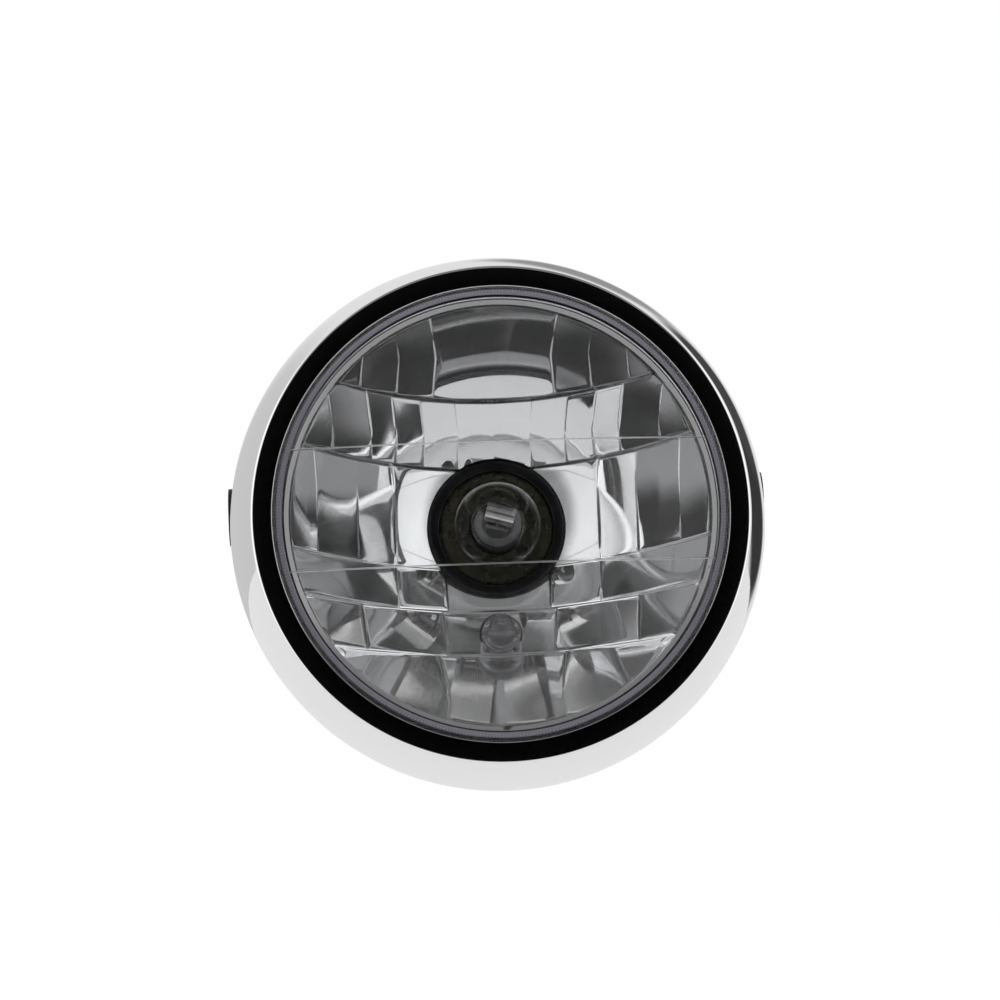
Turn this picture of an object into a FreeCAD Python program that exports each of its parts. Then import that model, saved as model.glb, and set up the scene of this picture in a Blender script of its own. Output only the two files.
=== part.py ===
import FreeCAD, Part
import math
import os
from FreeCAD import Vector

# Round motorcycle headlight with a chromed rim, a clear domed lens, a faceted reflector and a black bucket.
# Lengths are in millimetres. The lamp axis is Y and the lamp looks along -Y, with +Z up.
# Pieces are drawn by station, the distance behind the rim's rear edge, so the front has negative stations.
# At the end every piece is moved so that the origin lies on the lamp axis, halfway along the lamp.

# Rim, a thin pressing with a flat face and a flared side
rim_d = 170.0
rim_depth = 32.0
rim_flare = 7.7
rim_face_width = 6.8
rim_face_rise = 0.9
rim_bulge = 0.9
rim_wall = 1.0
rim_bend_radius = 2.6
rim_lip_depth = 2.4
rim_lip_round = 0.6

# Lens, with two fine raised lines across it
lens_wall = 3.0
lens_crown = 8.5
lens_proud = 0.6
lens_flange = 4.2
lens_edge_round = 1.4
lens_skirt_depth = 2.6
lens_line_width = 0.5
lens_line_height = 0.3
lens_line_margin = 2.5
lens_line_shares = (0.304, -0.234)
lens_gap = 0.4
lens_seal_relief = 0.3

# Reflector bowl and its facets
bowl_focus = 25.0
bowl_band = 5.0
bowl_edge_wall = 1.4
bowl_wall = 2.4
reflector_flange = 3.0
groove_clearance = 0.15
sealant_depth = 0.8
channel_wall = 2.0
channel_depth = 9.3
facet_draft_deg = 8.0
facet_lift = 1.5
facet_flattest_r = 200.0
row_setbacks = (-1.2, 0.0, 1.2, 2.2, 3.0, 3.6)

# Where the facets' walls cross the bowl, as shares of its radius, from the top row down
row_shares = (0.6, 0.29, -0.194, -0.403, -0.627)
column_shares = (
    (0.275, 0.452, 0.626),
    (0.0, 0.174, 0.342, 0.476, 0.597, 0.778),
    (0.496, 0.674, 0.867),
    (0.247, 0.49),
    (0.259, 0.65),
    (0.0, 0.27),
)

# Bulb collar and main bulb
collar_d = 44.4
collar_face_width = 4.0
collar_proud = 3.0
collar_flange_width = 3.0
collar_flange = 3.0
collar_bevel = 1.2
collar_clearance = 0.15
globe_d = 28.6
globe_forward = 5.0
globe_wall = 0.8
neck_d = 17.6
neck_clearance = 0.4
cap_wall = 0.8
cap_overlap = 5.0
cap_length = 19.5
cap_flange_inset = 1.2
cap_flange = 1.0
cap_pin_d = 2.0
cap_pin_reach = 1.6
cap_pin_setback = 6.0
dish_setback = 6.0
dish_clearance = 0.3
insulator_depth = 4.0
contact_d = 5.0
contact_height = 1.6
contact_spacing = 8.0
stem_d = 6.0
stem_reach = 9.0
stem_flare = 1.5
support_d = 0.8
support_straight = 1.0
filament_d = 1.3
filament_length = 5.5
filament_spread = 4.4
filament_height = 3.0
filament_forward = 7.0
shield_width = 9.2
shield_depth = 4.6
shield_radius = 3.2
shield_wall = 0.4

# Bulb socket behind the collar
socket_inset = 1.7
socket_wall = 2.2
leaf_width = 4.5
leaf_height = 2.5
leaf_thickness = 0.5

# Pilot bulb and its holder
pilot_glass_d = 12.4
pilot_clearance = 0.15
pilot_holder_wall = 0.4
pilot_holder_rim = 1.1
pilot_holder_flange = 2.5
pilot_boss_wall = 1.4
pilot_boss_depth = 8.5
pilot_collar_gap = 1.3
pilot_glass_reach = 11.0
pilot_glass_wall = 0.6
pilot_wedge_width = 8.6
pilot_wedge_thickness = 2.6
pilot_wedge_length = 7.0
pilot_wire_d = 0.5
pilot_filament_length = 4.0

# Bucket, with its front lip, side pads and rear cable hole
bucket_inset = 1.5
bucket_wall = 2.0
bucket_straight = 8.0
wiring_room = 14.0
lip_step = 3.0
lip_reach = 8.0
gasket_thickness = 1.2
gasket_clearance = 0.2
gasket_overhang = 0.4
cable_bore_d = 12.0
grommet_wall = 5.0
grommet_flange_width = 4.5
grommet_flange = 3.0
grommet_inner_flange = 2.5
grommet_round = 1.2

# Side mounts
mount_rise = 6.0
mount_pad_border = 2.8
mount_pad_inset = 1.1
mount_pad_thickness = 5.8
mount_bolt_clearance = 1.0
mount_thread_d = 6.8
spacer_d = 18.4
spacer_thickness = 4.5
spacer_round = 0.8
weld_nut_length = 8.0
weld_nut_across = 13.0
weld_nut_flange_d = 15.5
weld_nut_flange = 1.6

# Rim fixings: two side screws into clip nuts on the rim's tabs, and a hook at the top
screw_angle_deg = -35.0
screw_station = 12.0
screw_d = 5.0
screw_head_d = 9.0
screw_head_height = 2.5
screw_length = 12.0
screw_slot_width = 1.1
screw_slot_depth = 1.0
screw_recess_clearance = 1.7
screw_pad_wall = 1.8
tab_width = 12.0
tab_thickness = 1.2
tab_lip_clearance = 0.4
tab_foot_depth = 2.6
tab_foot_station = -9.2
tab_end_margin = 6.0
clip_nut_width = 9.0
clip_nut_thickness = 1.0
clip_nut_length = 11.0
hook_reach = 9.0

# Spring clips that hold the reflector and lens in the rim
spring_clip_count = 6
spring_clip_width = 9.0
spring_clip_thickness = 0.9
spring_clip_rise = 4.0
spring_clip_clearance = 0.2

# Stations worked out from the sizes above
rim_r = rim_d / 2
crease_r = rim_r - rim_flare
opening_r = crease_r - rim_face_width
lip_station = -rim_depth
crease_station = rim_face_rise - rim_depth
side_slope = (rim_r - crease_r) / -crease_station
face_slope = rim_face_rise / (crease_r - opening_r)

shoulder_r = opening_r - lens_gap
lens_r = shoulder_r + lens_flange
flange_front = lip_station + rim_lip_depth + lens_seal_relief
flange_back = flange_front + lens_wall
dome_edge = lip_station - lens_proud
lens_pole = dome_edge - lens_crown
dome_radius = (shoulder_r**2 + lens_crown**2) / (2 * lens_crown)
skirt_inner_r = shoulder_r - lens_wall
skirt_end = flange_back + lens_skirt_depth
lens_line_heights = [share * shoulder_r for share in lens_line_shares]

groove_inner_r = skirt_inner_r - groove_clearance
groove_outer_r = shoulder_r + groove_clearance
groove_bottom = skirt_end + sealant_depth
bowl_r = groove_inner_r - bowl_edge_wall
bowl_edge = flange_back + bowl_band
channel_r = groove_outer_r + channel_wall
channel_back = flange_back + channel_depth
back_skin = max(row_setbacks) + facet_lift + bowl_wall
row_heights = [share * bowl_r for share in row_shares]
row_columns = [[share * bowl_r for share in shares] for shares in column_shares]

collar_r = collar_d / 2
collar_hole_r = collar_r + collar_clearance
collar_bore_r = collar_r - collar_face_width
collar_flange_r = collar_r + collar_flange_width
cap_flange_r = collar_r - cap_flange_inset
pilot_glass_r = pilot_glass_d / 2
pilot_bore_r = pilot_glass_r + pilot_clearance
pilot_plug_r = pilot_bore_r + pilot_holder_wall
pilot_hole_r = pilot_plug_r + pilot_clearance
pilot_hole_d = 2 * pilot_hole_r
pilot_flange_r = pilot_hole_r + pilot_holder_rim
pilot_height = -(collar_flange_r + pilot_collar_gap + pilot_flange_r)


def bowl_station(x, z):
    """Station of the plain parabola that the facets follow, at a point of the front view."""
    return bowl_edge + (bowl_r**2 - x**2 - z**2) / (4 * bowl_focus)


neck_back = bowl_station(collar_hole_r, 0) + back_skin
collar_front = bowl_station(collar_hole_r, 0) - collar_proud
collar_back = neck_back + collar_flange
globe_station = collar_front - globe_forward
cap_back = collar_back + cap_length
cap_front = collar_back - cap_overlap
cap_rim = cap_back - contact_height
socket_front = collar_back + cap_flange
socket_floor = cap_back + leaf_height
socket_back = socket_floor + socket_wall
bucket_depth = socket_back + wiring_room + grommet_inner_flange + bucket_wall
bucket_r = rim_r - bucket_inset
lip_r = bucket_r - lip_step
bucket_inner_r = bucket_r - bucket_wall
bucket_round = bucket_depth - bucket_straight
bucket_round_r = bucket_r - bucket_round
cable_hole_r = cable_bore_d / 2 + grommet_wall
mount_pad_face = bucket_r - mount_pad_inset
mount_pad_d = spacer_d + 2 * mount_pad_border
mount_bolt_hole_d = mount_thread_d + 2 * mount_bolt_clearance
screw_recess_d = screw_head_d + 2 * screw_recess_clearance
screw_pad_d = screw_recess_d + 2 * screw_pad_wall

front_reach = -lens_pole
rear_reach = bucket_depth + grommet_flange
mount_station = (rear_reach - front_reach) / 2
row_frame_shift = Vector(0, -mount_station, 0)


# Helpers

def line(start, end):
    """Straight edge between two (radius, station) points."""
    return Part.makeLine(Vector(*start, 0), Vector(*end, 0))


def bow(start, middle, end):
    """Arc through three (radius, station) points."""
    return Part.Arc(Vector(*start, 0), Vector(*middle, 0), Vector(*end, 0)).toShape()


def turned(edges):
    """Solid of revolution about the lamp axis from the edges of a closed outline."""
    outline = Part.Face(Part.Wire(Part.__sortEdges__(edges)))
    return outline.revolve(Vector(), Vector(0, 1, 0), 360)


def turned_polygon(points):
    """Solid of revolution from a closed outline of (radius, station) corners."""
    corners = list(points)
    return turned([line(a, b) for a, b in zip(corners, corners[1:] + corners[:1])])


def ring(inner_r, outer_r, front, back):
    """Plain turned ring, or a disc where the inner radius is zero."""
    return turned_polygon([(inner_r, front), (outer_r, front), (outer_r, back), (inner_r, back)])


def rounded(solid, radius, rings):
    """Fillets the circular edges that lie at the given (radius, station) places."""
    near = 0.01
    picked = []
    for edge in solid.Edges:
        if edge.Degenerated or not isinstance(edge.Curve, Part.Circle):
            continue
        for ring_r, station in rings:
            at_station = abs(edge.Curve.Center.y - station) < near
            if at_station and abs(edge.Curve.Radius - ring_r) < near:
                picked.append(edge)
    return solid.makeFillet(radius, picked)


def bar(diameter, start, end):
    """Round bar between two points."""
    along = end.sub(start)
    return Part.makeCylinder(diameter / 2, along.Length, start, along)


def spun(shape, angle_deg):
    """Copy of a piece drawn on +X, turned about the lamp axis to an angle seen from the front."""
    turned_copy = shape.copy()
    turned_copy.rotate(Vector(), Vector(0, -1, 0), angle_deg)
    return turned_copy


def plate(x_range, stations, width):
    """Flat plate drawn on +X, between two distances and two stations, centred on Z."""
    low, high = x_range
    front, back = stations
    return Part.makeBox(high - low, back - front, width, Vector(low, front, -width / 2))


def joined(shapes):
    """One solid from several that overlap or share faces."""
    whole = shapes[0].fuse(shapes[1:])
    return whole.removeSplitter()


# Rim

def rim_inner_r(station):
    """Radius of the rim side's inner face, along its chord."""
    return rim_r + side_slope * station - rim_wall * math.hypot(1, side_slope)


def rim_face_back(radius):
    """Station of the back of the rim's face."""
    face = crease_station + face_slope * (radius - crease_r)
    return face + rim_wall * math.hypot(1, face_slope)


def side_bow(start, end):
    """Bulging edge along the rim's side."""
    lean = math.atan(side_slope)
    middle_r = (start[0] + end[0]) / 2 + rim_bulge * math.cos(lean)
    middle_station = (start[1] + end[1]) / 2 - rim_bulge * math.sin(lean)
    return bow(start, (middle_r, middle_station), end)


def rim_inner_crease():
    """Corner where the inner faces of the rim's side and face meet."""
    inner_side = rim_inner_r(0)
    inner_face = rim_face_back(0)
    radius = (inner_side + side_slope * inner_face) / (1 - side_slope * face_slope)
    return (radius, rim_face_back(radius))


def rim_cavity():
    """Filled space inside the rim's side. Pieces that seat on the side are trimmed to it."""
    rear = (rim_inner_r(0), 0)
    inner_crease = rim_inner_crease()
    front_middle = (0, inner_crease[1])
    return turned([
        side_bow(inner_crease, rear),
        line(rear, (0, 0)),
        line((0, 0), front_middle),
        line(front_middle, inner_crease),
    ])


def make_rim():
    rear_outer = (rim_r, 0)
    crease = (crease_r, crease_station)
    lip_front = (opening_r, lip_station)
    lip_back = (opening_r, lip_station + rim_lip_depth)
    lip_outer = (opening_r + rim_wall, lip_station + rim_lip_depth)
    lip_root = (opening_r + rim_wall, rim_face_back(opening_r + rim_wall))
    inner_crease = rim_inner_crease()
    rear_inner = (rim_inner_r(0), 0)
    blank = turned([
        side_bow(rear_outer, crease),
        line(crease, lip_front),
        line(lip_front, lip_back),
        line(lip_back, lip_outer),
        line(lip_outer, lip_root),
        line(lip_root, inner_crease),
        side_bow(inner_crease, rear_inner),
        line(rear_inner, rear_outer),
    ])
    bent = rounded(blank, rim_bend_radius, [crease])
    bent = rounded(bent, rim_bend_radius - rim_wall, [inner_crease])
    return rounded(bent, rim_lip_round, [lip_front])


# Lens, its seal and the sealant bead

def dome_station(radius, depth):
    """Station of the dome at a radius, at a depth below its outer face."""
    return lens_pole + depth + dome_radius - math.sqrt(dome_radius**2 - radius**2)


def dome_bow(radius, depth):
    """Edge of the dome from a radius to the lamp axis."""
    points = [(r, dome_station(r, depth)) for r in (radius, radius / 2, 0)]
    return bow(*points)


def lens_lines():
    """Two fine raised lines across the dome, sunk a little into it so that they join."""
    reach = shoulder_r - lens_line_margin
    sunk = lens_line_height
    skin = turned([
        dome_bow(reach, -lens_line_height),
        dome_bow(reach, sunk),
        line((reach, dome_station(reach, -lens_line_height)), (reach, dome_station(reach, sunk))),
        line((0, lens_pole - lens_line_height), (0, lens_pole + sunk)),
    ])
    slabs = []
    for height in lens_line_heights:
        corner = Vector(-shoulder_r, lens_pole - lens_wall, height - lens_line_width / 2)
        slab = Part.makeBox(2 * shoulder_r, lens_crown + 2 * lens_wall, lens_line_width, corner)
        slabs.append(skin.common(slab))
    return slabs


def make_lens():
    inner_edge = (skirt_inner_r, dome_station(skirt_inner_r, lens_wall))
    blank = turned([
        dome_bow(shoulder_r, 0),
        line((shoulder_r, dome_edge), (shoulder_r, flange_front)),
        line((shoulder_r, flange_front), (lens_r, flange_front)),
        line((lens_r, flange_front), (lens_r, flange_back)),
        line((lens_r, flange_back), (shoulder_r, flange_back)),
        line((shoulder_r, flange_back), (shoulder_r, skirt_end)),
        line((shoulder_r, skirt_end), (skirt_inner_r, skirt_end)),
        line((skirt_inner_r, skirt_end), inner_edge),
        dome_bow(skirt_inner_r, lens_wall),
        line((0, lens_pole + lens_wall), (0, lens_pole)),
    ])
    blank = rounded(blank, lens_edge_round, [(shoulder_r, dome_edge)])
    return joined([blank] + lens_lines())


def make_lens_seal():
    inner = opening_r + rim_wall + lens_seal_relief
    return turned_polygon([
        (inner, rim_face_back(inner)),
        (lens_r, rim_face_back(lens_r)),
        (lens_r, flange_front),
        (inner, flange_front),
    ])


def make_sealant():
    return ring(groove_inner_r, groove_outer_r, skirt_end, groove_bottom)


# Reflector: a bowl whose inside is cut to a grid of concave facets

draft = math.tan(math.radians(facet_draft_deg))
facet_front = flange_back - lens_wall
facet_back = bowl_station(0, 0) + back_skin
facet_reach = bowl_r + lens_wall


def row_edge(height, station):
    """Height of the sloping wall below a row of facets, at a station."""
    if abs(height) >= facet_reach:
        return height
    return height + draft * (bowl_station(0, height) - station)


def column_edge(offset, height, station):
    """Sideways place of the sloping wall beside a facet, at a station. The middle wall has no slope."""
    if offset == 0 or abs(offset) >= facet_reach:
        return offset
    lean = draft * (bowl_station(offset, height) - station)
    return offset + math.copysign(lean, offset)


def wedge_block(x_range, z_range):
    """Block in front of one facet, between four sloping walls."""
    middle = sum(max(-bowl_r, min(bowl_r, z)) for z in z_range) / 2
    corners = []
    for station in (facet_front, facet_back):
        x_low, x_high = (column_edge(x, middle, station) for x in x_range)
        z_low, z_high = (row_edge(z, station) for z in z_range)
        flat = ((x_low, z_low), (x_high, z_low), (x_high, z_high), (x_low, z_high))
        corners.append([Vector(x, station, z) for x, z in flat])
    front, back = corners
    quads = [front, back]
    quads += [[front[i], front[(i + 1) % 4], back[(i + 1) % 4], back[i]] for i in range(4)]
    faces = [Part.Face(Part.makePolygon(quad + quad[:1])) for quad in quads]
    return Part.Solid(Part.Shell(faces))


def facet_ball(x_range, z_range, setback):
    """Ball whose surface is the facet. It touches the parabola, set back, at the facet's middle.

    It is flatter than the parabola, so that the facet's far edges lie a set lift behind it.
    """
    z_low, z_high = (max(-bowl_r, min(bowl_r, edge)) for edge in z_range)
    z = (z_low + z_high) / 2
    half_chord = math.sqrt(bowl_r**2 - z**2)
    x_low, x_high = (max(-half_chord, min(half_chord, edge)) for edge in x_range)
    x = (x_low + x_high) / 2
    half_size = max(x_high - x_low, z_high - z_low) / 2
    curve = 1 / (2 * bowl_focus) - 2 * facet_lift / half_size**2
    radius = 1 / max(curve, 1 / facet_flattest_r)
    outward = Vector(x / (2 * bowl_focus), 1, z / (2 * bowl_focus)).normalize()
    touch = Vector(x, bowl_station(x, z) + setback, z)
    ball = Part.makeSphere(radius)
    seam_away = FreeCAD.Rotation(Vector(-1, 0, 0), outward)
    ball.Placement = FreeCAD.Placement(touch - outward * radius, seam_away)
    return ball


def row_cells(columns):
    """Sideways ranges of a row's facets."""
    edges = sorted({sign * x for x in columns for sign in (-1, 1)})
    edges = [-facet_reach] + edges + [facet_reach]
    return zip(edges, edges[1:])


def facet_cavities():
    """The hollow in front of each facet, inside the bowl's edge."""
    length = facet_back - facet_front
    mouth = Part.makeCylinder(bowl_r, length, Vector(0, facet_front, 0), Vector(0, 1, 0))
    heights = [facet_reach, *row_heights, -facet_reach]
    rows = zip(heights, heights[1:], row_columns, row_setbacks)
    cavities = []
    for top, bottom, columns, setback in rows:
        for x_range in row_cells(columns):
            ball = facet_ball(x_range, (bottom, top), setback)
            cavity = wedge_block(x_range, (bottom, top)).common(ball).common(mouth)
            cavities += cavity.Solids
    return cavities


def make_reflector():
    flange_rear = flange_back + reflector_flange
    skin_front_r = math.sqrt(bowl_r**2 + 4 * bowl_focus * (bowl_edge + back_skin - channel_back))
    neck_r = collar_flange_r
    skin_points = []
    for share in (0, 0.25, 0.5, 0.75, 1):
        radius = skin_front_r + share * (neck_r - skin_front_r)
        skin_points.append((radius, bowl_station(radius, 0) + back_skin))
    skin = Part.BSplineCurve()
    skin.interpolate([Vector(*point, 0) for point in skin_points])
    corners = [
        (0, flange_back),
        (lens_r, flange_back),
        (lens_r, flange_rear),
        (channel_r, flange_rear),
        (channel_r, channel_back),
        skin_points[0],
    ]
    edges = [line(a, b) for a, b in zip(corners, corners[1:])]
    edges.append(skin.toShape())
    edges.append(line(skin_points[-1], (neck_r, neck_back)))
    edges.append(line((neck_r, neck_back), (0, neck_back)))
    edges.append(line((0, neck_back), (0, flange_back)))
    blank = turned(edges)
    boss_start = Vector(0, flange_back, pilot_height)
    boss_d = pilot_hole_d + 2 * pilot_boss_wall
    boss = bar(boss_d, boss_start, Vector(0, pilot_back, pilot_height))
    blank = joined([blank, boss])
    groove = ring(groove_inner_r, groove_outer_r, facet_front, groove_bottom)
    collar_hole = ring(0, collar_hole_r, facet_front, neck_back + collar_flange)
    pilot_hole = bar(pilot_hole_d, boss_start, Vector(0, pilot_back + pilot_boss_depth, pilot_height))
    return blank.cut(facet_cavities() + [groove, collar_hole, pilot_hole]).Solids[0]


# Collar around the main bulb

def make_collar():
    return turned_polygon([
        (collar_bore_r, collar_front + collar_bevel / 2),
        (collar_bore_r + collar_bevel / 2, collar_front),
        (collar_r - collar_bevel, collar_front),
        (collar_r, collar_front + collar_bevel),
        (collar_r, neck_back),
        (collar_flange_r, neck_back),
        (collar_flange_r, collar_back),
        (collar_bore_r, collar_back),
    ])


# Main bulb: a round glass, its metal cap and what stands inside

neck_r = neck_d / 2
globe_r = globe_d / 2
cap_bore_r = neck_r + neck_clearance
cap_r = cap_bore_r + cap_wall
stem_back = cap_front + stem_flare + globe_wall


def globe_edges(radius, throat_r, back):
    """Outline of the round glass at one radius: pole, ball, throat and neck."""
    joint = globe_station + math.sqrt(radius**2 - throat_r**2)
    return [
        bow((0, globe_station - radius), (radius, globe_station), (throat_r, joint)),
        line((throat_r, joint), (throat_r, back)),
    ]


def make_bulb_glass():
    back = stem_back + globe_wall
    inner_r = globe_r - globe_wall
    throat_r = neck_r - globe_wall
    return turned(
        globe_edges(globe_r, neck_r, back)
        + globe_edges(inner_r, throat_r, back)
        + [line((0, globe_station - globe_r), (0, globe_station - inner_r)),
           line((throat_r, back), (neck_r, back))]
    )


def make_bulb_cap():
    """Metal cap with a dished skirt that centres the bulb in the collar, and two bayonet pins."""
    flange_rear = collar_back + cap_flange
    dish_front = collar_front + dish_setback
    dish_r = collar_bore_r - dish_clearance
    dish_inner_r = dish_r - cap_wall
    shell = turned_polygon([
        (cap_bore_r, cap_front),
        (cap_r, cap_front),
        (dish_inner_r, dish_front),
        (dish_r, dish_front),
        (dish_r, collar_back),
        (cap_flange_r, collar_back),
        (cap_flange_r, flange_rear),
        (dish_inner_r, flange_rear),
        (dish_inner_r, dish_front + cap_wall),
        (cap_r, cap_front + cap_wall),
        (cap_r, cap_rim),
        (cap_bore_r, cap_rim),
    ])
    pin_station = cap_rim - cap_pin_setback
    pins = []
    for side in (-1, 1):
        root = Vector(side * (cap_r - cap_wall / 2), pin_station, 0)
        pins.append(bar(cap_pin_d, root, Vector(side * (cap_r + cap_pin_reach), pin_station, 0)))
    return joined([shell] + pins)


def make_cap_insulator():
    return ring(0, cap_bore_r, cap_rim - insulator_depth, cap_rim)


def make_cap_contacts():
    pads = []
    for side in (-1, 1):
        place = Vector(side * contact_spacing / 2, cap_rim, 0)
        pad = Part.makeCone(contact_d / 2, contact_d / 3, contact_height, place, Vector(0, 1, 0))
        pads.append(pad)
    return Part.makeCompound(pads)


def make_bulb_stem():
    throat_r = neck_r - globe_wall
    stem_r = stem_d / 2
    return turned_polygon([
        (0, stem_back - stem_flare - stem_reach),
        (stem_r * 0.7, stem_back - stem_flare - stem_reach),
        (stem_r, stem_back - stem_flare),
        (throat_r, stem_back - stem_flare),
        (throat_r, stem_back),
        (0, stem_back),
    ])


stem_tip = stem_back - stem_flare - stem_reach
filament_station = globe_station - filament_forward
filament_ends = filament_length / 2


def filament(height):
    return bar(
        filament_d,
        Vector(-filament_ends, filament_station, height),
        Vector(filament_ends, filament_station, height),
    )


def make_supports():
    """Lead wires from the stem's tip to the ends of both filaments."""
    root_r = stem_d / 4
    wires = []
    for side in (-1, 1):
        for height in (filament_height, filament_height - filament_spread):
            root = Vector(side * root_r, stem_tip, math.copysign(support_d, height))
            tip_x = side * (filament_ends + support_d / 2)
            knee = Vector(tip_x, (stem_tip + filament_station) / 2, height)
            tip = Vector(tip_x, filament_station - filament_d / 2, height)
            wires.append(bent_wire(root, knee, tip))
    post_height = filament_height - shield_radius + shield_wall / 2
    post_tip = Vector(0, filament_station + shield_depth - shield_radius, post_height)
    post_knee = Vector(0, (stem_tip + filament_station) / 2, post_height)
    wires.append(bent_wire(Vector(0, stem_tip, 0), post_knee, post_tip))
    return Part.makeCompound(wires)


def bent_wire(root, knee, tip):
    """Wire that leaves the stem straight, slants to a knee and then runs straight to its tip."""
    lift = root - Vector(0, support_straight, 0)
    runs = [bar(support_d, a, b) for a, b in ((root, lift), (lift, knee), (knee, tip))]
    bends = [Part.makeSphere(support_d / 2, place) for place in (lift, knee)]
    return joined(runs + bends)


def make_shield():
    """Curved metal shield in front of the upper filament, open at the back."""
    outer = Part.makeCylinder(shield_radius, shield_width)
    inner = Part.makeCylinder(shield_radius - shield_wall, shield_width)
    shell = outer.cut(inner)
    corner = Vector(-shield_radius, -shield_radius, 0)
    shell = shell.common(Part.makeBox(2 * shield_radius, shield_depth, shield_width, corner))
    shell.translate(Vector(0, 0, -shield_width / 2))
    shell.rotate(Vector(), Vector(0, 1, 0), 90)
    shell.translate(Vector(0, filament_station, filament_height))
    return shell


# Bulb socket and its contact leaves

def make_socket():
    outer_r = collar_flange_r - socket_inset
    bore_r = cap_r + cap_pin_reach + collar_clearance
    cup = ring(0, outer_r, socket_front, socket_back)
    hollow = ring(0, bore_r, socket_front, socket_floor)
    return rounded(cup, socket_wall, [(outer_r, socket_back)]).cut(hollow)


def make_contact_leaves():
    """Folded springs between the bulb's contacts and the socket's floor, one for each contact."""
    leaves = []
    for side in (-1, 1):
        corner = Vector(side * contact_spacing / 2 - leaf_width / 2, cap_back, -leaf_width / 2)
        fold = Part.makeBox(leaf_width, leaf_height, leaf_width, corner)
        gap = leaf_height - 2 * leaf_thickness
        inside = corner + Vector(0, leaf_thickness, leaf_thickness)
        leaves.append(fold.cut(Part.makeBox(leaf_width, gap, leaf_width, inside)))
    return Part.makeCompound(leaves)


# Pilot bulb

pilot_row = 4
pilot_face = bowl_station(0, pilot_height) + row_setbacks[pilot_row]
pilot_back = bowl_station(0, pilot_height) + back_skin + pilot_boss_depth - bowl_wall
pilot_glass_front = pilot_face - pilot_glass_reach
pilot_glass_back = pilot_back - pilot_wedge_length


def on_pilot_axis(shape):
    shape.translate(Vector(0, 0, pilot_height))
    return shape


def make_pilot_glass():
    """Glass of the pilot bulb: a round-ended tube that closes to a flat wedge at the back."""
    inner_r = pilot_glass_r - pilot_glass_wall
    tip = pilot_glass_front + pilot_glass_r
    edges = []
    for radius, back in ((pilot_glass_r, pilot_glass_back), (inner_r, pilot_glass_back - pilot_glass_wall)):
        corner = radius * math.sqrt(0.5)
        edges.append(bow((0, tip - radius), (corner, tip - corner), (radius, tip)))
        edges.append(line((radius, tip), (radius, back)))
        edges.append(line((radius, back), (0, back)))
    outer = turned(edges[:3] + [line((0, pilot_glass_back), (0, tip - pilot_glass_r))])
    inner = turned(edges[3:] + [line((0, pilot_glass_back - pilot_glass_wall), (0, tip - inner_r))])
    wedge = Part.makeBox(
        pilot_wedge_width,
        pilot_wedge_length,
        pilot_wedge_thickness,
        Vector(-pilot_wedge_width / 2, pilot_glass_back, -pilot_wedge_thickness / 2),
    )
    return on_pilot_axis(joined([outer, wedge]).cut(inner))


def make_pilot_filament():
    back = pilot_glass_back - pilot_glass_wall
    half = pilot_filament_length / 2
    front = pilot_glass_front + pilot_glass_r
    wires = [bar(pilot_wire_d, Vector(side * half, back, 0), Vector(side * half, front, 0)) for side in (-1, 1)]
    coil = bar(2 * pilot_wire_d, Vector(-half - pilot_wire_d, front, 0), Vector(half + pilot_wire_d, front, 0))
    return on_pilot_axis(joined(wires + [coil]))


def make_pilot_holder():
    plug_front = pilot_face + bowl_wall
    end = pilot_back + pilot_holder_flange
    body = turned_polygon([
        (0, pilot_glass_back),
        (pilot_bore_r, pilot_glass_back),
        (pilot_bore_r, plug_front),
        (pilot_plug_r, plug_front),
        (pilot_plug_r, pilot_back),
        (pilot_flange_r, pilot_back),
        (pilot_flange_r, end),
        (0, end),
    ])
    slot = Part.makeBox(
        pilot_wedge_width,
        pilot_wedge_length,
        pilot_wedge_thickness,
        Vector(-pilot_wedge_width / 2, pilot_glass_back, -pilot_wedge_thickness / 2),
    )
    return on_pilot_axis(body.cut(slot))


# Bucket

def bucket_bend(depth):
    """Round of the bucket at a depth below its outer face, from the straight side to the flat back."""
    bend = bucket_round - depth
    corner = bend * math.sqrt(0.5)
    return bow(
        (bucket_r - depth, bucket_straight),
        (bucket_round_r + corner, bucket_straight + corner),
        (bucket_round_r, bucket_straight + bend),
    )


def bucket_shell():
    """Turned shell with a lip at its front and the cable hole at its back."""
    lip_inner_r = lip_r - bucket_wall
    shoulder_back = gasket_thickness + bucket_wall
    inner_back = bucket_depth - bucket_wall
    outside = [
        (lip_inner_r, -lip_reach),
        (lip_r, -lip_reach),
        (lip_r, gasket_thickness),
        (bucket_r, gasket_thickness),
        (bucket_r, bucket_straight),
    ]
    back = [
        (bucket_round_r, bucket_depth),
        (cable_hole_r, bucket_depth),
        (cable_hole_r, inner_back),
        (bucket_round_r, inner_back),
    ]
    inside = [
        (bucket_inner_r, bucket_straight),
        (bucket_inner_r, shoulder_back),
        (lip_inner_r, shoulder_back),
        (lip_inner_r, -lip_reach),
    ]
    runs = [line(p, q) for path in (outside, back, inside) for p, q in zip(path, path[1:])]
    return turned(runs + [bucket_bend(0), bucket_bend(bucket_wall)])


def side_disc(diameter, low, high):
    """Disc on the left and right mount axes, between two distances from the middle."""
    discs = []
    for side in (-1, 1):
        start = Vector(side * low, mount_station, mount_rise)
        discs.append(bar(diameter, start, Vector(side * high, mount_station, mount_rise)))
    return discs


screw_angles = (screw_angle_deg, 180 - screw_angle_deg)
tab_outer = lip_r - bucket_wall - tab_lip_clearance
tab_inner = tab_outer - tab_thickness
screw_seat = tab_outer + clip_nut_thickness
screw_recess_face = screw_seat + bucket_wall


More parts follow.
